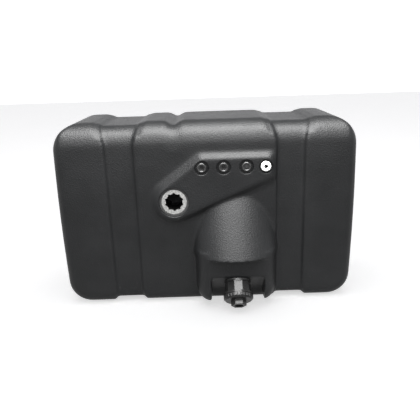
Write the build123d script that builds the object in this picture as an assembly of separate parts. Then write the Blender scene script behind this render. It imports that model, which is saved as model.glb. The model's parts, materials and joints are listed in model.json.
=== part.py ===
"""Strap-mounted fresh water tank: moulded hollow shell, filler, ports, tube fitting and drain valve.

Millimetres, +Z up, -Y towards the front face.  The origin is the middle of the base.
Places on the front face are given as x, z and "out", the distance in front of that face.
"""
import os
from math import cos, radians, sin, sqrt

from build123d import *

# ---- driving dimensions -------------------------------------------------------------------------
WIDTH, DEPTH, HEIGHT = 610.0, 246.0, 382.0
TOP_CORNER_R, BOTTOM_CORNER_R = 54.0, 48.0      # seen from the front
END_CROWN = 4.0                                 # the ends bow out by this at mid-height
TOP_EDGE_R, RIM_R = 46.0, 20.0                  # along the top edges; round the front and back faces
WALL = 6.0

STRAP_X, STRAP_W, STRAP_DEEP = 170.5, 57.0, 7.0     # strap channels, for 50 mm webbing
STRAP_TOP_W, STRAP_FOOT_W = 84.0, 70.0              # the channels flare over the top and bottom edges
GROOVE_X, GROOVE_W, GROOVE_DEEP = -62.0, 13.0, 9.0  # vent-hose groove over the top edge

PANEL_OUT = 10.0                                # the fittings panel stands proud of the front face
FILLER_X, FILLER_Z = -65.5, 223.0
FILLER_RING_R, FILLER_BORE_R, FILLER_POCKET_R = 25.5, 17.0, 30.2
PORT_Z, PORT_XS = 292.0, (-7.6, 35.7, 81.0)     # blanked ports
TUBE_X = 119.2                                  # the port with the tube fitting
PORT_POCKET_R, PORT_THREAD_R = 14.0, 6.6
POCKET_DEEP = 6.0

HOOD_X, HOOD_HALF_W = 57.0, 88.0                # hood above the drain valve
HOOD_MID_Z, HOOD_HALF_H = 100.0, 135.6          # the ellipse where it leaves the front face
HOOD_BASE_Z, HOOD_OUT = 111.0, 66.0
HOUSING_OUT, HOUSING_HALF_W, HOUSING_CHEEK_R = 46.0, 82.0, 36.0
HOUSING_FOOT_Z, HOUSING_FOOT_R = 10.0, 30.0
BAY_X, BAY_W, BAY_TOP_Z, BAY_R = 59.5, 109.0, 92.0, 14.0
SEAT_Z = 27.0                                   # the 45 degree drain seat meets the front face here

DRAIN_TILT = 45.0
DRAIN_OUT, DRAIN_BORE_R = 24.5, 9.0
TUBE_BORE_R, TUBE_GUIDE_R = 4.05, 4.15          # for 8 mm tube
FIT = 0.05                                      # radial clearance of a running fit
GAP = 0.3                                       # between pieces that move apart

FRONT = -DEPTH / 2
parts = {}


# ---- helpers ------------------------------------------------------------------------------------
def face_of(points, plane):
    """A flat face through straight-sided corner points given in a plane."""
    return plane * make_face(Polyline(*points, close=True))


def front_cyl(r, out_a, out_b, x, z):
    """A cylinder along Y between two distances in front of the front face."""
    length = abs(out_a - out_b)
    middle = FRONT - (out_a + out_b) / 2
    return Location((x, middle, z), (90, 0, 0)) * Cylinder(r, length)


def front_ring(r_out, r_in, out_a, out_b, x, z):
    low, high = min(out_a, out_b), max(out_a, out_b)
    return front_cyl(r_out, low, high, x, z) - front_cyl(r_in, low - 1, high + 1, x, z)


def along(shape, axis, low_z, high_z):
    """The edges of a shape that run along an axis, with their middles between two heights."""
    return [e for e in shape.edges().filter_by(axis) if low_z < e.center().Z < high_z]


def side_profile(inset):
    """The tank's end view, shrunk by inset, as a bar right across the tank."""
    bar = Pos(0, 0, HEIGHT / 2) * Box(WIDTH + 40, DEPTH - 2 * inset, HEIGHT - 2 * inset)
    bar = fillet(along(bar, Axis.X, HEIGHT / 2, HEIGHT + 1), TOP_EDGE_R - inset)
    return fillet(along(bar, Axis.X, inset - 0.1, inset + 0.1), max(RIM_R - inset, 4.0))


def tank_block(inset):
    """The rounded block before its channels and bosses, shrunk by inset."""
    half, deep = WIDTH / 2 - inset, DEPTH - 2 * inset
    edge, low, high = half - END_CROWN, inset, HEIGHT - inset
    with BuildSketch(Plane.XZ.offset(-deep / 2)) as outline:
        with BuildLine():
            Line((-edge, low), (edge, low))
            ThreePointArc((edge, low), (half, HEIGHT / 2), (edge, high))
            Line((edge, high), (-edge, high))
            ThreePointArc((-edge, high), (-half, HEIGHT / 2), (-edge, low))
        make_face()
    block = extrude(outline.sketch, deep)
    block = fillet(along(block, Axis.Y, HEIGHT / 2, HEIGHT + 1), TOP_CORNER_R - inset)
    block = fillet(along(block, Axis.Y, inset - 0.1, inset + 0.1), BOTTOM_CORNER_R - inset)
    rims = [e for e in block.edges() if abs(abs(e.center().Y) - deep / 2) < 0.01]
    block = fillet(rims, max(RIM_R - inset, 6.0))
    return block & side_profile(inset)


def channel_outline(grow):
    """A strap channel seen from the front: narrow on the face, flared over the top and the foot."""
    narrow, top, foot = STRAP_W / 2 + grow, STRAP_TOP_W / 2 + grow, STRAP_FOOT_W / 2 + grow
    flare_top, flare_foot = HEIGHT - TOP_EDGE_R - 2, 24.0
    with BuildSketch(Plane.XZ) as outline:
        with BuildLine():
            Line((narrow, flare_foot), (narrow, flare_top))
            Spline((narrow, flare_top), (top - 5, HEIGHT - 12), (top, HEIGHT + 12),
                   tangents=((0, 1), (0.1, 1)))
            Line((top, HEIGHT + 12), (-top, HEIGHT + 12))
            Spline((-top, HEIGHT + 12), (-top + 5, HEIGHT - 12), (-narrow, flare_top),
                   tangents=((0.1, -1), (0, -1)))
            Polyline((-narrow, flare_top), (-narrow, flare_foot), (-foot, -12), (foot, -12),
                     (narrow, flare_foot))
        make_face()
    return outline.sketch


def channel_tool(x, grow, deep):
    """What a strap channel takes away: its outline right through, less the core it wraps round."""
    bar = extrude(Pos(x, 0, 0) * channel_outline(grow), DEPTH, both=True)
    return bar - side_profile(deep)


def groove_tool(width, deep):
    """What the hose groove over the top edge takes away: deepest on top, fading out down the faces."""
    low = HEIGHT - TOP_EDGE_R + 2 - width / 4
    slab = Pos(GROOVE_X, 0, (low + HEIGHT + 20) / 2) * Box(width, 2 * DEPTH, HEIGHT + 20 - low)
    core = side_profile(deep)
    slab = fillet(along(slab, Axis.Y, 0, HEIGHT - 20), width / 2.2)
    return slab - Pos(0, 0.8 - deep, 0) * core - Pos(0, deep - 0.8, 0) * core


def panel_outline(inset, out):
    """A hull round the filler, the port row and their corners, at a distance in front of the face."""
    with BuildSketch(Plane.XZ.offset(-FRONT + out)) as outline:
        for x, z, r in ((FILLER_X, FILLER_Z, 45.5), (-6, 304, 16), (125, 304, 16), (126, 272, 15)):
            with Locations((x, z)):
                Circle(r - inset)
        make_hull()
    return outline.sketch


def panel():
    """The raised fittings panel, with sloping flanks."""
    slope = 11.0
    foot = extrude(panel_outline(0, -12), 12 + 1.5)
    return foot + loft([panel_outline(0, 1.5), panel_outline(slope, PANEL_OUT)], ruled=True)


def hood(shrink, base_z):
    """A slanting elliptical hood that grows out of the front face, cut off level at its base."""
    lean = HOOD_OUT / (HOOD_MID_Z + HOOD_HALF_H - HOOD_BASE_Z)      # outward travel per mm of drop
    back = 30.0
    start = Plane.XZ.offset(-FRONT - back)
    ring = start * Pos(HOOD_X, HOOD_MID_Z + back / lean) * Ellipse(HOOD_HALF_W - shrink,
                                                                  HOOD_HALF_H - shrink * 2)
    tube = extrude(ring, 330, dir=Vector(0, -lean, -1).normalized())
    keep = Pos(HOOD_X, FRONT - 40, base_z + 150) * Box(300, 220, 300)
    return tube & keep


def bow_plan(shrink, z):
    """The housing's plan, a flat front between two round cheeks, shrunk and set at a height."""
    reach = HOUSING_HALF_W - HOUSING_CHEEK_R
    cheek_y = FRONT - HOUSING_OUT + HOUSING_CHEEK_R
    with BuildSketch(Plane.XY.offset(z)) as plan:
        with Locations((HOOD_X - reach, cheek_y), (HOOD_X + reach, cheek_y),
                       (HOOD_X - reach, FRONT + 40), (HOOD_X + reach, FRONT + 40)):
            Circle(HOUSING_CHEEK_R - shrink)
        make_hull()
    return plan.sketch


def housing(shrink, foot_z, top_z):
    """The bow-fronted box below the hood that holds the drain valve's bay, with a rounded foot."""
    turn_z = foot_z + HOUSING_FOOT_R
    rings = []
    for step in range(6):                       # a quarter round, as a stack of straight slopes
        swing = radians(18 * step)
        rings.append(bow_plan(shrink + HOUSING_FOOT_R * 0.8 * (1 - sin(swing)),
                              turn_z - HOUSING_FOOT_R * cos(swing)))
    return (extrude(rings[-1], top_z - turn_z) + loft(rings, ruled=True)) & in_front(30.0)


def bay_tool(lift, grow):
    """The drain bay: everything below the slanting seat, inside a rounded doorway."""
    rise = 140.0
    wedge = [(grow, SEAT_Z + lift - grow), (-rise, SEAT_Z + lift + rise), (-rise, -20.0), (grow, -20.0)]
    slab = Pos(0, FRONT, 0) * face_of(wedge, Plane.YZ)
    wedge_bar = extrude(slab, 400, both=True)
    wide, top = BAY_W + 2 * grow, BAY_TOP_Z + grow
    door = Pos(BAY_X, FRONT - 60, top / 2 - 10) * Box(wide, 120 + 2 * grow, top + 20)
    return wedge_bar & fillet(along(door, Axis.Y, 0, HEIGHT), BAY_R)


DRAIN_AXIS = Vector(0, -cos(radians(DRAIN_TILT)), -sin(radians(DRAIN_TILT)))
DRAIN_FRAME = Plane(origin=(BAY_X - 0.5, FRONT - DRAIN_OUT, SEAT_Z + DRAIN_OUT),
                    x_dir=(1, 0, 0), z_dir=DRAIN_AXIS)


def drain_cyl(r, low, high):
    """A cylinder on the drain's axis; low and high count outward from its seat."""
    return DRAIN_FRAME * Pos(0, 0, (low + high) / 2) * Cylinder(r, high - low)


def drain_ring(r_out, r_in, low, high):
    return drain_cyl(r_out, low, high) - drain_cyl(r_in, low - 1, high + 1)


def drain_prism(sides, across_flats, low, high, turn=0.0, soft=1.5):
    across_corners = across_flats / cos(radians(180 / sides))
    shape = extrude(RegularPolygon(across_corners / 2, sides), high - low)
    shape = fillet(shape.edges().filter_by(Axis.Z), soft * 1.6)
    shape = chamfer(shape.faces().sort_by(Axis.Z)[-1].edges(), 0.8)
    return DRAIN_FRAME * Pos(0, 0, low) * Rot(0, 0, turn) * shape


def over_top():
    """The zone over the top edge, where the channels' shoulders are wide."""
    return Pos(0, 0, HEIGHT) * Box(WIDTH, DEPTH * 2, 52.0)


def in_front(depth):
    """Everything in front of a plane that lies a distance behind the front face."""
    return Pos(0, FRONT - 150 + depth, HEIGHT / 2) * Box(WIDTH, 300, HEIGHT)


# ---- the moulded shell --------------------------------------------------------------------------
INSERT_LEN, INSERT_R = 18.0, 9.5
FILLER_LEN, LINER_R, LINER_SETBACK = 36.0, 19.8, 3.2
FILLER_FACE = PANEL_OUT - POCKET_DEEP
DRAIN_INSERT_R, DRAIN_INSERT_LEN, DRAIN_THREAD_R = 21.0, 22.0, 15.0


def build_shell():
    outer = tank_block(0)
    for x in (-STRAP_X, STRAP_X):
        outer -= channel_tool(x, 11, STRAP_DEEP * 0.35) & over_top()
        outer -= channel_tool(x, 0, STRAP_DEEP)
    for width, deep in ((34.0, 2.5), (23.0, 5.5), (GROOVE_W, GROOVE_DEEP)):
        outer -= groove_tool(width, deep)
    outer += hood(0, HOOD_BASE_Z)
    sill = Pos(BAY_X, FRONT, SEAT_Z - 50) * Box(BAY_W, 100, 100)
    outer += housing(0, HOUSING_FOOT_Z, HOOD_BASE_Z + 12) - sill
    outer -= bay_tool(0, 0)
    outer += panel()

    hollow = tank_block(WALL)
    for x in (-STRAP_X, STRAP_X):
        hollow -= channel_tool(x, WALL + 11, STRAP_DEEP + WALL)
    hollow -= groove_tool(34.0 + 2 * WALL, GROOVE_DEEP + WALL)
    hollow += hood(WALL, HOOD_BASE_Z + WALL) & in_front(8.0)
    hollow += (housing(WALL, HOUSING_FOOT_Z + WALL, HOOD_BASE_Z + WALL + 8)
               - bay_tool(WALL * sqrt(2), WALL))
    hollow -= front_cyl(FILLER_RING_R + 6, 20, FILLER_FACE - FILLER_LEN - 5, FILLER_X, FILLER_Z)
    for x in (*PORT_XS, TUBE_X):
        hollow -= front_cyl(INSERT_R + 5, 20, FILLER_FACE - INSERT_LEN - 4, x, PORT_Z)
    hollow -= drain_cyl(DRAIN_INSERT_R + 6, -DRAIN_INSERT_LEN - 4, 10)

    shell = outer - hollow
    shell -= front_cyl(FILLER_POCKET_R, 20, FILLER_FACE, FILLER_X, FILLER_Z)
    shell -= front_cyl(FILLER_RING_R, 20, FILLER_FACE - FILLER_LEN, FILLER_X, FILLER_Z)
    shell -= front_cyl(LINER_R, 0, -60, FILLER_X, FILLER_Z)
    for x in (*PORT_XS, TUBE_X):
        shell -= front_cyl(PORT_POCKET_R, 20, FILLER_FACE, x, PORT_Z)
        shell -= front_cyl(INSERT_R, 20, FILLER_FACE - INSERT_LEN, x, PORT_Z)
        shell -= front_cyl(PORT_THREAD_R + 0.4, 0, -40, x, PORT_Z)
    shell -= drain_cyl(DRAIN_INSERT_R, -DRAIN_INSERT_LEN, 8)
    shell -= drain_cyl(DRAIN_THREAD_R, -DRAIN_INSERT_LEN - 30, 0)
    return shell


parts["tank_shell"] = build_shell()

# ---- filler -------------------------------------------------------------------------------------
liner_face = FILLER_FACE - LINER_SETBACK
insert = front_ring(FILLER_RING_R, FILLER_BORE_R, FILLER_FACE, FILLER_FACE - FILLER_LEN, FILLER_X, FILLER_Z)
insert -= front_cyl(LINER_R, liner_face, -FILLER_LEN - 10, FILLER_X, FILLER_Z)
for step in range(10):                      # scallops round the mouth
    angle = radians(36 * step + 18)
    notch_x = FILLER_X + (FILLER_BORE_R - 0.4) * cos(angle)
    notch_z = FILLER_Z + (FILLER_BORE_R - 0.4) * sin(angle)
    insert -= front_cyl(2.7, FILLER_FACE + 1, liner_face - 1, notch_x, notch_z)
parts["filler_insert"] = insert
parts["filler_liner"] = front_ring(LINER_R, FILLER_BORE_R, liner_face, FILLER_FACE - FILLER_LEN,
                                   FILLER_X, FILLER_Z)
parts["filler_pocket_seal"] = front_ring(FILLER_POCKET_R - 0.4, FILLER_RING_R + 0.3,
                                         FILLER_FACE, FILLER_FACE + 1.6, FILLER_X, FILLER_Z)

# ---- blanked ports ------------------------------------------------------------------------------
inserts = [front_ring(INSERT_R, PORT_THREAD_R, FILLER_FACE, FILLER_FACE - INSERT_LEN, x, PORT_Z)
           for x in (*PORT_XS, TUBE_X)]
parts["port_thread_inserts"] = Compound(children=[i.solid() for i in inserts])


def port_plug(x, vented):
    """A round-headed blanking plug with a soft rim and a hexagon socket, on its own O-ring."""
    base = FILLER_FACE + GAP
    with BuildSketch(Plane.XY) as half:
        with BuildLine():
            Polyline((0, 0), (6.55, 0), (6.55, 12.0), (9.8, 12.0), (9.8, 15.2))
            RadiusArc((9.8, 15.2), (7.6, 17.4), -2.3)
            RadiusArc((7.6, 17.4), (5.6, 15.6), -2.3)
            Polyline((5.6, 15.6), (0, 15.6), (0, 0))
        make_face()
    body = revolve(half.sketch, Axis.Y)
    socket = Pos(0, 15.7, 0) * Rot(90, 0, 0) * extrude(RegularPolygon(4.6, 6), 5)
    if vented:
        body += Pos(0, 15.0, 0) * Rot(-90, 0, 0) * Cone(4.4, 2.6, 3.6)
    else:
        body -= socket
    seal_seat = Pos(0, 12.9, 0) * Rot(90, 0, 0) * (Cylinder(8.6, 1.8) - Cylinder(6.6, 2))
    body -= seal_seat
    place = Location((x, FRONT - base + 12.0, PORT_Z), (180, 0, 0))
    seal = Pos(0, 12.8, 0) * Rot(90, 0, 0) * (Cylinder(8.4, 1.6) - Cylinder(6.7, 2))
    return place * body, place * seal


for name, x, vented in (("left", PORT_XS[0], False), ("middle", PORT_XS[1], False),
                        ("vent", PORT_XS[2], True)):
    parts[f"plug_{name}"], parts[f"plug_{name}_seal"] = port_plug(x, vented)

# ---- push-in tube fitting -----------------------------------------------------------------------
COLLET_R, COLLET_TRAVEL = 8.2, 1.6
base = FILLER_FACE                              # the fitting seats on the bottom of its port's pocket
fitting = front_cyl(9.8, base + 1.8, base + 7.0, TUBE_X, PORT_Z)
fitting = fillet(fitting.faces().sort_by(Axis.Y)[0].edges(), 1.0)
fitting += front_cyl(6.55, base + 2, base - 17, TUBE_X, PORT_Z)
fitting -= front_cyl(COLLET_R + FIT, base + 3.2, base + 9, TUBE_X, PORT_Z)
fitting -= front_cyl(5.2, base - 9.5, base + 9, TUBE_X, PORT_Z)
fitting -= front_cyl(3.0, base - 20, base + 9, TUBE_X, PORT_Z)
parts["tube_fitting_body"] = fitting
parts["tube_fitting_sleeve"] = front_ring(5.2, TUBE_BORE_R, base - 9.5, base + 3.2, TUBE_X, PORT_Z)
parts["tube_fitting_washer"] = front_ring(9.6, 6.7, base, base + 1.8, TUBE_X, PORT_Z)
collet = front_ring(COLLET_R, TUBE_GUIDE_R, base + 3.2 + COLLET_TRAVEL + GAP, base + 9.4, TUBE_X, PORT_Z)
parts["tube_fitting_collet"] = fillet(collet.faces().sort_by(Axis.Y)[0].edges(), 0.8)

# ---- pick-up tube inside the tank ---------------------------------------------------------------
PICKUP_OUT, PICKUP_R, STRAINER_TOP = -58.0, 5.0, 52.0
elbow_y = FRONT - PICKUP_OUT
bend = 14 * sin(radians(45))
with BuildLine() as route:
    Line((TUBE_X, FRONT + 15, PORT_Z), (TUBE_X, elbow_y - 14, PORT_Z))
    ThreePointArc((TUBE_X, elbow_y - 14, PORT_Z),
                  (TUBE_X, elbow_y - 14 + bend, PORT_Z - 14 + bend), (TUBE_X, elbow_y, PORT_Z - 14))
    Line((TUBE_X, elbow_y, PORT_Z - 14), (TUBE_X, elbow_y, STRAINER_TOP))
start = Plane(origin=(TUBE_X, FRONT + 15, PORT_Z), z_dir=(0, 1, 0))
pickup = sweep(start * (Circle(PICKUP_R) - Circle(3.5)), path=route.line)
parts["pickup_tube"] = pickup
cage = Pos(TUBE_X, elbow_y, 36) * (Cylinder(13, 34) - Pos(0, 0, -2) * Cylinder(11, 34))
cage -= Pos(TUBE_X, elbow_y, 50) * Cylinder(PICKUP_R, 10)
for turn in range(8):
    cage -= Pos(TUBE_X, elbow_y, 32) * Rot(0, 0, 22.5 * turn) * Box(3, 40, 20)
parts["pickup_strainer"] = cage

# ---- drain valve --------------------------------------------------------------------------------
parts["drain_thread_insert"] = drain_ring(DRAIN_INSERT_R, DRAIN_THREAD_R, -DRAIN_INSERT_LEN, 0)
parts["drain_gasket"] = drain_ring(27.0, 17.0, 0, 2.0)

SPIGOT_R, BODY_END = 21.0, 25.5
valve = drain_cyl(DRAIN_THREAD_R - FIT, -18, 2) + drain_cyl(27.5, 2.0, 5.0)
valve += drain_prism(10, 51.0, 4.5, BODY_END) + drain_cyl(SPIGOT_R, BODY_END - 1, BODY_END + 8)
valve -= drain_cyl(DRAIN_BORE_R, -30, 60)
valve -= drain_cyl(15.0, BODY_END - 2, 60)
valve -= drain_ring(SPIGOT_R + 1, SPIGOT_R - 1.2, BODY_END + 3, BODY_END + 5)
parts["drain_valve_body"] = valve


def valve_disc(low, high, r_out):
    """A ceramic disc with one off-centre kidney, here a round port, for the water."""
    disc = drain_cyl(r_out, low, high)
    port = DRAIN_FRAME * Pos(0, 6.5, (low + high) / 2) * Cylinder(4.5, high - low + 2)
    return disc - port


parts["drain_fixed_disc"] = valve_disc(BODY_END - 2, BODY_END + 1.5, 14.9)
parts["drain_turning_disc"] = valve_disc(BODY_END + 1.5 + GAP, BODY_END + 5, 14.7)
COLLAR_R, COLLAR_END, NOSE_END = 30.4, 40.0, 51.0
collar = drain_cyl(COLLAR_R, BODY_END + GAP, COLLAR_END)
rims = collar.edges().filter_by(GeomType.CIRCLE).sort_by(Axis.Z)
collar = chamfer(rims[0], 3.5)
collar -= drain_cyl(SPIGOT_R + FIT, BODY_END, BODY_END + 8.4)
collar -= drain_cyl(11.0, 20, 60)
collar -= drain_ring(COLLAR_R + 2, COLLAR_R - 0.9, 29.4, 30.6)
for turn in range(30):                       # shallow grip flutes
    collar -= DRAIN_FRAME * Rot(0, 0, 12 * turn) * Pos(COLLAR_R + 1.2, 0, 35.4) * Cylinder(1.7, 7.4)
parts["drain_collar"] = collar
drive = drain_ring(11.0 - FIT, DRAIN_BORE_R, BODY_END + 5, COLLAR_END)
nose = drive + drain_prism(6, 28.0, COLLAR_END, NOSE_END) - drain_cyl(DRAIN_BORE_R, 36, 60)
parts["drain_nose"] = nose
parts["drain_spigot_oring"] = drain_ring(SPIGOT_R, SPIGOT_R - 1.2, BODY_END + 3, BODY_END + 5)

# ---- write --------------------------------------------------------------------------------------
os.makedirs("parts", exist_ok=True)
for name, shape in parts.items():
    export_step(shape, f"parts/{name}.step")
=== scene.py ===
"""Looks of the fresh water tank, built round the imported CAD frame."""

import json
import math

import bpy
import numpy as np
from mathutils import Matrix, Vector


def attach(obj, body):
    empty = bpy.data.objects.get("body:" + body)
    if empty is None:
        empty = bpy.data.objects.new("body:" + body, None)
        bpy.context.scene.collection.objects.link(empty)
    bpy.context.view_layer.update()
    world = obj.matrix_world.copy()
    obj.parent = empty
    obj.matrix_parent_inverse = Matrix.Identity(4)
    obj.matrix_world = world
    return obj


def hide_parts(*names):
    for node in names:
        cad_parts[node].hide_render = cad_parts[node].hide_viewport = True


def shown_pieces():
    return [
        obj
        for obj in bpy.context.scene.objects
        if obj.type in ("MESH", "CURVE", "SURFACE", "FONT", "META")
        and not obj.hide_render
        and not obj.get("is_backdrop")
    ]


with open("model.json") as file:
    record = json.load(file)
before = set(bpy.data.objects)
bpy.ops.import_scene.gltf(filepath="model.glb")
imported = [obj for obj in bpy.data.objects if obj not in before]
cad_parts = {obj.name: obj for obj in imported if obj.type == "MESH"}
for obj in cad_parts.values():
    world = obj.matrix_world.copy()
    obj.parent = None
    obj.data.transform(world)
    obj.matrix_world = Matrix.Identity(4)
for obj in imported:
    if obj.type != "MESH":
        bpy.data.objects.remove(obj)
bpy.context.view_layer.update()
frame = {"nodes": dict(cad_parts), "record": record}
nodes = frame["nodes"]
MM = 0.001

# ---- places, in millimetres, taken over from the CAD ----------------------------------------------
FRONT = -123.0
PANEL_OUT, POCKET_FACE = 10.0, 4.0
FILLER = (-65.5, 223.0)
PORT_Z = 292.0
PORT_XS = (-7.6, 35.7, 81.0, 119.2)
DRAIN_X, DRAIN_OUT, DRAIN_Z = 59.0, 24.5, 51.5
TILT = math.radians(45)
FILLER_POCKET_R, FILLER_RING_R, LINER_R = 30.2, 25.5, 19.8
FILLER_RING_END = -32.0                         # how far in the ring's seat goes
PORT_POCKET_R, PORT_SEAT_R, PORT_BORE_R = 14.0, 9.5, 7.0
PORT_SEAT_END = -14.0
DRAIN_SEAT_R, DRAIN_BORE_R, DRAIN_SEAT_END = 21.0, 15.0, -22.0
FILL_MARGIN = 5.5                               # how far past a seat its hole is filled before remeshing
FILLER_FILL_MARGIN = 6.5
VOXEL = 2.6                                     # remeshing size
SOFT_ROUNDS = 9
KEPT_FACES = 0.36                               # share of the skin's faces left after thinning
SMOOTH_BELOW_SKIN, SMOOTH_BELOW = math.radians(50), math.radians(35)
EDGE_BEVEL = 0.35


# ---- node helpers ---------------------------------------------------------------------------------
class Shader:
    """A Principled material with short calls for the procedural nodes that feed it."""

    def __init__(self, name):
        self.mat = bpy.data.materials.new(name)
        self.mat.use_nodes = True
        self.tree = self.mat.node_tree
        self.bsdf = next(n for n in self.tree.nodes if n.type == "BSDF_PRINCIPLED")
        self.place = self.add("ShaderNodeTexCoord").outputs["Object"]
        self.bump_in = None

    def add(self, kind, **settings):
        node = self.tree.nodes.new(kind)
        for key, value in settings.items():
            setattr(node, key, value)
        return node

    def link(self, a, b):
        self.tree.links.new(a, b)

    def value(self, **sockets):
        for key, v in sockets.items():
            self.bsdf.inputs[key.replace("_", " ")].default_value = v

    def noise(self, scale, detail=3.0, rough=0.55, at=None):
        node = self.add("ShaderNodeTexNoise")
        node.inputs["Scale"].default_value = scale
        node.inputs["Detail"].default_value = detail
        node.inputs["Roughness"].default_value = rough
        self.link(at or self.place, node.inputs["Vector"])
        return node.outputs["Fac"]

    def voronoi(self, scale, feature="SMOOTH_F1", smooth=0.6):
        node = self.add("ShaderNodeTexVoronoi", feature=feature)
        node.inputs["Scale"].default_value = scale
        if feature == "SMOOTH_F1":
            node.inputs["Smoothness"].default_value = smooth
        self.link(self.place, node.inputs["Vector"])
        return node.outputs["Distance"]

    def ramp(self, source, stops):
        node = self.add("ShaderNodeValToRGB")
        ramp = node.color_ramp
        while len(ramp.elements) < len(stops):
            ramp.elements.new(0.5)
        for element, (pos, colour) in zip(ramp.elements, stops):
            element.position = pos
            c = colour if isinstance(colour, tuple) else (colour,) * 3
            element.color = (*c, 1.0)
        self.link(source, node.inputs["Fac"])
        return node.outputs["Color"]

    def span(self, source, low, high):
        node = self.add("ShaderNodeMapRange")
        node.inputs["To Min"].default_value = low
        node.inputs["To Max"].default_value = high
        self.link(source, node.inputs["Value"])
        return node.outputs["Result"]

    def bump(self, height, strength, distance):
        node = self.add("ShaderNodeBump")
        node.inputs["Strength"].default_value = strength
        node.inputs["Distance"].default_value = distance
        self.link(height, node.inputs["Height"])
        if self.bump_in is not None:
            self.link(self.bump_in, node.inputs["Normal"])
        self.bump_in = node.outputs["Normal"]
        self.link(self.bump_in, self.bsdf.inputs["Normal"])

    def colour(self, source):
        self.link(source, self.bsdf.inputs["Base Color"])

    def roughness(self, source):
        self.link(source, self.bsdf.inputs["Roughness"])


def polyethylene():
    """Rotomoulded black polyethylene: pebbled skin, soft sheen, faint handling marks."""
    s = Shader("shell_polyethylene")
    s.value(Specular_IOR_Level=0.23)
    pebble = s.voronoi(420.0)
    grain = s.noise(900.0, 2.0)
    broad = s.noise(9.0, 4.0)
    s.bump(broad, 0.18, 0.004)
    s.bump(pebble, 0.55, 0.0006)
    s.bump(grain, 0.35, 0.0003)
    tone = s.ramp(broad, [(0.35, (0.0030, 0.0032, 0.0034)), (0.65, (0.0048, 0.0050, 0.0053))])
    s.colour(tone)
    s.roughness(s.span(s.noise(35.0, 5.0, 0.6), 0.40, 0.52))
    return s.mat


def gloss_black(name, rough_low, rough_high, shine=0.5, tone=0.012):
    s = Shader(name)
    s.value(Specular_IOR_Level=shine)
    s.colour(s.ramp(s.noise(60.0), [(0.4, (tone,) * 3), (0.7, (tone * 1.5,) * 3)]))
    s.roughness(s.span(s.noise(220.0, 4.0), rough_low, rough_high))
    s.bump(s.noise(1500.0, 2.0), 0.12, 0.0001)
    return s.mat


def cast_metal():
    s = Shader("cast_metal")
    s.value(Metallic=1.0)
    s.colour(s.ramp(s.noise(300.0, 5.0), [(0.35, (0.42, 0.42, 0.41)), (0.65, (0.72, 0.72, 0.70))]))
    s.roughness(s.span(s.noise(500.0, 4.0), 0.28, 0.5))
    s.bump(s.noise(1200.0, 3.0), 0.3, 0.0002)
    return s.mat


def rubber():
    s = Shader("seal_rubber")
    s.colour(s.ramp(s.noise(200.0), [(0.4, (0.008,) * 3), (0.7, (0.014,) * 3)]))
    s.roughness(s.span(s.noise(400.0), 0.6, 0.8))
    s.bump(s.noise(1800.0), 0.2, 0.0001)
    return s.mat


def brass():
    s = Shader("insert_brass")
    s.value(Metallic=1.0)
    s.colour(s.ramp(s.noise(250.0, 4.0), [(0.3, (0.45, 0.32, 0.13)), (0.7, (0.68, 0.5, 0.22))]))
    s.roughness(s.span(s.noise(400.0), 0.25, 0.45))
    s.bump(s.noise(900.0), 0.2, 0.0001)
    return s.mat


def white_acetal():
    s = Shader("white_acetal")
    s.value(Subsurface_Weight=0.1, Subsurface_Radius=(0.002, 0.002, 0.002), Subsurface_Scale=1.0)
    s.colour(s.ramp(s.noise(120.0), [(0.3, (0.80, 0.80, 0.78)), (0.7, (0.88, 0.88, 0.86))]))
    s.roughness(s.span(s.noise(300.0), 0.22, 0.36))
    s.bump(s.noise(1500.0), 0.1, 0.0001)
    return s.mat


def milky_tube():
    s = Shader("milky_polyethylene")
    s.colour(s.ramp(s.noise(80.0), [(0.3, (0.60, 0.62, 0.63)), (0.7, (0.74, 0.76, 0.77))]))
    s.roughness(s.span(s.noise(200.0), 0.3, 0.45))
    s.bump(s.noise(800.0), 0.15, 0.0002)
    return s.mat


def matte_liner():
    s = Shader("liner_polypropylene")
    s.value(Specular_IOR_Level=0.05)
    s.colour(s.ramp(s.noise(150.0), [(0.4, (0.001,) * 3), (0.7, (0.002,) * 3)]))
    s.roughness(s.span(s.noise(300.0), 0.5, 0.7))
    s.bump(s.noise(1200.0), 0.2, 0.0001)
    return s.mat


def ceramic():
    s = Shader("disc_ceramic")
    s.colour(s.ramp(s.noise(300.0), [(0.3, (0.74, 0.73, 0.70)), (0.7, (0.82, 0.81, 0.78))]))
    s.roughness(s.span(s.noise(500.0), 0.12, 0.25))
    s.bump(s.noise(2000.0), 0.05, 0.00005)
    return s.mat


SHELL = polyethylene()
VALVE = gloss_black("valve_nylon", 0.22, 0.36, shine=0.2, tone=0.006)
PLUG = gloss_black("plug_nylon", 0.12, 0.26)
LOOKS = {
    "shell_plastic": SHELL, "liner_plastic": matte_liner(), "cast_metal": cast_metal(),
    "seal_rubber": rubber(), "insert_brass": brass(),
    "plug_plastic": PLUG, "fitting_white": white_acetal(), "tube_plastic": milky_tube(),
    "valve_plastic": VALVE, "disc_ceramic": ceramic(),
}
for part in frame["record"]["subparts"]:
    obj = nodes[part["node"]]
    obj.data.materials.clear()
    obj.data.materials.append(LOOKS[part["material_slot"]])


# ---- mesh helpers ---------------------------------------------------------------------------------
def new_object(name, verts, faces):
    mesh = bpy.data.meshes.new(name)
    mesh.from_pydata([tuple(v) for v in verts], [], faces)
    mesh.update()
    obj = bpy.data.objects.new(name, mesh)
    bpy.context.scene.collection.objects.link(obj)
    return obj


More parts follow.
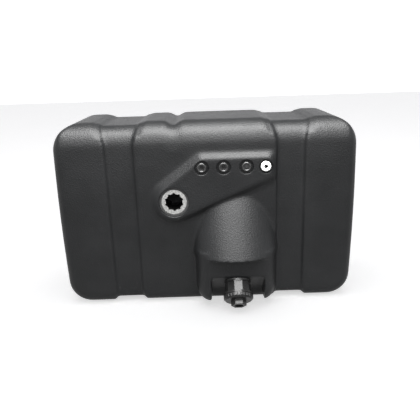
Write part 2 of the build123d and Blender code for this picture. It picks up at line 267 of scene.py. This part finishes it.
def lathe(name, profile, place, steps=96):
    """A closed solid of revolution from (radius, height) pairs in mm, with its axis along local +Z."""
    verts, faces = [], []
    rings = []
    for r, h in profile:
        if r < 1e-6:
            rings.append([len(verts)])
            verts.append((0.0, 0.0, h * MM))
        else:
            rings.append(list(range(len(verts), len(verts) + steps)))
            verts += [(r * MM * math.cos(2 * math.pi * k / steps), r * MM * math.sin(2 * math.pi * k / steps),
                       h * MM) for k in range(steps)]
    for a, b in zip(rings, rings[1:]):
        for k in range(steps):
            n = (k + 1) % steps
            if len(a) == 1:
                faces.append((a[0], b[n], b[k]))
            elif len(b) == 1:
                faces.append((a[k], a[n], b[0]))
            else:
                faces.append((a[k], a[n], b[n], b[k]))
    obj = new_object(name, verts, faces)
    obj.data.transform(place)
    return obj


def front_place(x, z):
    """Local +Z points out of the front face, from the face's own plane."""
    return Matrix.Translation((x * MM, FRONT * MM, z * MM)) @ Matrix.Rotation(math.radians(90), 4, "X")


DRAIN_PLACE = (Matrix.Translation((DRAIN_X * MM, (FRONT - DRAIN_OUT) * MM, DRAIN_Z * MM))
               @ Matrix.Rotation(math.radians(90) + TILT, 4, "X"))


def apply(obj, kind, **settings):
    """Adds one modifier and applies it."""
    modifier = obj.modifiers.new(kind.lower(), kind)
    for key, value in settings.items():
        setattr(modifier, key, value)
    graph = bpy.context.evaluated_depsgraph_get()
    mesh = bpy.data.meshes.new_from_object(obj.evaluated_get(graph))
    obj.modifiers.clear()
    old, obj.data = obj.data, mesh
    bpy.data.meshes.remove(old)


def join(name, objects):
    """One new object from several, which are removed."""
    verts, faces, start = [], [], 0
    for o in objects:
        verts += [tuple(v.co) for v in o.data.vertices]
        faces += [tuple(i + start for i in p.vertices) for p in o.data.polygons]
        start += len(o.data.vertices)
        bpy.data.objects.remove(o)
    return new_object(name, verts, faces)


def mesh_arrays(mesh):
    co = np.empty(len(mesh.vertices) * 3)
    mesh.vertices.foreach_get("co", co)
    edges = np.empty(len(mesh.edges) * 2, np.int64)
    mesh.edges.foreach_get("vertices", edges)
    return co.reshape(-1, 3), edges.reshape(-1, 2)


def soften(co, edges, amount, rounds):
    """Moves each vertex towards its neighbours' mean, round after round."""
    count = len(co)
    degree = np.bincount(edges.ravel(), minlength=count)
    for step in range(rounds):
        share = np.clip(amount * rounds - step, 0, 1) * 0.5
        for k in range(3):
            total = (np.bincount(edges[:, 0], co[edges[:, 1], k], count)
                     + np.bincount(edges[:, 1], co[edges[:, 0], k], count))
            co[:, k] += share * (total / degree - co[:, k])
    return co


# ---- the tank's skin ------------------------------------------------------------------------------
def plug_profile(r, low, high):
    return [(0, low), (r, low), (r, high), (0, high)]


def pocket_profile(bore, bore_end, insert_r, insert_end, pocket_r):
    soft = 1.6
    turns = [math.radians(a) for a in range(0, 91, 15)]
    arc = [(pocket_r + soft - soft * math.cos(a), PANEL_OUT - soft + soft * math.sin(a)) for a in turns]
    return [(0, bore_end), (bore, bore_end), (bore, insert_end), (insert_r, insert_end),
            (insert_r, POCKET_FACE),
            (pocket_r, POCKET_FACE), *arc, (pocket_r + soft, 25), (0, 25)]


def smoothing_amount(p):
    """How far each point takes part in the softening: full on the body, less on the panel and the hood."""
    x, out, z = p[:, 0] / MM, (FRONT - p[:, 1] / MM), p[:, 2] / MM
    amount = np.ones(len(p))
    proud = (out > -4) & (x > -112) & (x < 146) & (z < 324)
    amount[proud] = 0.6
    return amount


def build_skin():
    source = nodes["tank_shell"]
    copy = bpy.data.objects.new("skin_source", source.data.copy())
    bpy.context.scene.collection.objects.link(copy)
    fill = [lathe("fill", plug_profile(FILLER_POCKET_R, FILLER_RING_END - FILLER_FILL_MARGIN, PANEL_OUT),
                  front_place(*FILLER))]
    port_fill = plug_profile(PORT_POCKET_R, PORT_SEAT_END - FILL_MARGIN, PANEL_OUT)
    fill += [lathe("fill", port_fill, front_place(x, PORT_Z)) for x in PORT_XS]
    fill += [lathe("fill", plug_profile(DRAIN_SEAT_R, DRAIN_SEAT_END - FILL_MARGIN, 0.0), DRAIN_PLACE)]
    body = join("tank_skin", [copy, *fill])
    apply(body, "REMESH", mode="VOXEL", voxel_size=VOXEL * MM, adaptivity=0.0)
    co, edges = mesh_arrays(body.data)
    co = soften(co, edges, smoothing_amount(co), SOFT_ROUNDS)
    body.data.vertices.foreach_set("co", co.ravel())
    body.data.update()
    port_cut = pocket_profile(PORT_BORE_R, -45, PORT_SEAT_R, PORT_SEAT_END, PORT_POCKET_R)
    ports = [lathe("cut", port_cut, front_place(x, PORT_Z)) for x in PORT_XS]
    filler_cut = pocket_profile(LINER_R, -60, FILLER_RING_R, FILLER_RING_END, FILLER_POCKET_R)
    filler = lathe("cut", filler_cut, front_place(*FILLER))
    drain_cut = [(0, -60), (DRAIN_BORE_R, -60), (DRAIN_BORE_R, DRAIN_SEAT_END),
                 (DRAIN_SEAT_R, DRAIN_SEAT_END), (DRAIN_SEAT_R, 8), (0, 8)]
    drain = lathe("cut", drain_cut, DRAIN_PLACE)
    tool = join("skin_tool", [*ports, filler, drain])
    apply(body, "BOOLEAN", operation="DIFFERENCE", solver="MANIFOLD", object=tool)
    bpy.data.objects.remove(tool)
    apply(body, "DECIMATE", ratio=KEPT_FACES)
    body.data.materials.clear()
    body.data.materials.append(SHELL)
    body.data.polygons.foreach_set("use_smooth", [True] * len(body.data.polygons))
    body.data.set_sharp_from_angle(angle=SMOOTH_BELOW_SKIN)
    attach(body, "tank")
    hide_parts("tank_shell")


build_skin()

for name, obj in nodes.items():
    if name == "tank_shell":
        continue
    bevel = obj.modifiers.new("edge", "BEVEL")
    bevel.width, bevel.segments, bevel.limit_method = EDGE_BEVEL * MM, 2, "ANGLE"
    bevel.angle_limit = SMOOTH_BELOW
    obj.data.polygons.foreach_set("use_smooth", [True] * len(obj.data.polygons))
    obj.data.set_sharp_from_angle(angle=SMOOTH_BELOW)


# ---- floor, light and camera ----------------------------------------------------------------------
def floor():
    s = Shader("pale_floor")
    s.colour(s.ramp(s.noise(3.0), [(0.3, (0.86, 0.86, 0.86)), (0.7, (0.89, 0.89, 0.89))]))
    s.value(Roughness=0.9, Specular_IOR_Level=0.1, Emission_Color=(1, 1, 1, 1), Emission_Strength=0.55)
    size = 6.0
    obj = new_object("floor", [(-size, -size, 0), (size, -size, 0), (size, size, 0), (-size, size, 0)],
                     [(0, 1, 2, 3)])
    obj.data.materials.append(s.mat)
    obj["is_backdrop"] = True


def area_light(name, place, target, size, radiance, only=None):
    """A soft rectangular light of a given radiance, which may shine on one collection only."""
    light = bpy.data.lights.new(name, "AREA")
    light.shape, light.size, light.size_y = "RECTANGLE", size[0], size[1]
    light.energy = radiance * math.pi * size[0] * size[1]
    obj = bpy.data.objects.new(name, light)
    obj.location = place
    obj.rotation_euler = (Vector(target) - Vector(place)).to_track_quat("-Z", "Y").to_euler()
    bpy.context.scene.collection.objects.link(obj)
    if only is not None:
        obj.light_linking.receiver_collection = only
    return obj


def studio():
    world = bpy.data.worlds.new("studio")
    bpy.context.scene.world = world
    world.use_nodes = True
    tree = world.node_tree
    background = next(n for n in tree.nodes if n.type == "BACKGROUND")
    coord = tree.nodes.new("ShaderNodeTexCoord")
    split = tree.nodes.new("ShaderNodeSeparateXYZ")
    ramp = tree.nodes.new("ShaderNodeValToRGB")
    ramp.color_ramp.elements[0].position, ramp.color_ramp.elements[0].color = 0.25, (1.6, 1.6, 1.62, 1)
    ramp.color_ramp.elements[1].position, ramp.color_ramp.elements[1].color = 0.42, (0.22, 0.22, 0.23, 1)
    tree.links.new(coord.outputs["Generated"], split.inputs[0])
    tree.links.new(split.outputs["Z"], ramp.inputs["Fac"])
    tree.links.new(ramp.outputs["Color"], background.inputs["Color"])
    background.inputs["Strength"].default_value = 1.0
    lit = bpy.data.collections.new("lit_by_softboxes")
    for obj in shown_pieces():
        lit.objects.link(obj)
    target = Vector((0, -0.1, 0.3))
    for name, elevation, size, radiance in (("softbox_top", 72, (1.7, 1.2), 34.0),
                                            ("softbox_front", 32, (1.7, 0.9), 9.5)):
        e = math.radians(elevation)
        place = target + 1.7 * Vector((0, -math.cos(e), math.sin(e)))
        area_light(name, place, target, size, radiance, lit)
    area_light("floor_light", (0, -0.1, 2.6), (0, -0.1, 0), (3.0, 3.0), 0.9)
    reach, front, top = 1.2, -0.66, 0.2
    corners = [(-reach, front, 0.0), (reach, front, 0.0), (reach, front, top), (-reach, front, top)]
    card = new_object("dark_card", corners, [(0, 1, 2, 3)])
    s = Shader("card_black")
    s.colour(s.ramp(s.noise(5.0), [(0.4, (0.01,) * 3), (0.6, (0.012,) * 3)]))
    s.value(Roughness=0.9, Specular_IOR_Level=0.0)
    card.data.materials.append(s.mat)
    card.visible_camera = card.visible_diffuse = card.visible_shadow = card.visible_transmission = False
    card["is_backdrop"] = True


def camera():
    data = bpy.data.cameras.new("camera")
    data.lens, data.sensor_width = 40.93, 36.0
    obj = bpy.data.objects.new("camera", data)
    bpy.context.scene.collection.objects.link(obj)
    pitch, roll, yaw = (math.radians(v) for v in (17.2, 1.816, 0.1016))
    forward = Vector((math.sin(yaw) * math.cos(pitch), math.cos(yaw) * math.cos(pitch), -math.sin(pitch)))
    level = Vector((math.cos(yaw), -math.sin(yaw), 0))
    upright = level.cross(forward)
    right = math.cos(roll) * level - math.sin(roll) * upright
    up = math.cos(roll) * upright + math.sin(roll) * level
    turn = Matrix((right, up, -forward)).transposed()
    obj.matrix_world = Matrix.Translation((0.00471, -1.0532, 0.49064)) @ turn.to_4x4()
    data.clip_end = 100
    bpy.context.scene.camera = obj


floor()
studio()
camera()
bpy.context.scene.view_settings.view_transform = "Standard"
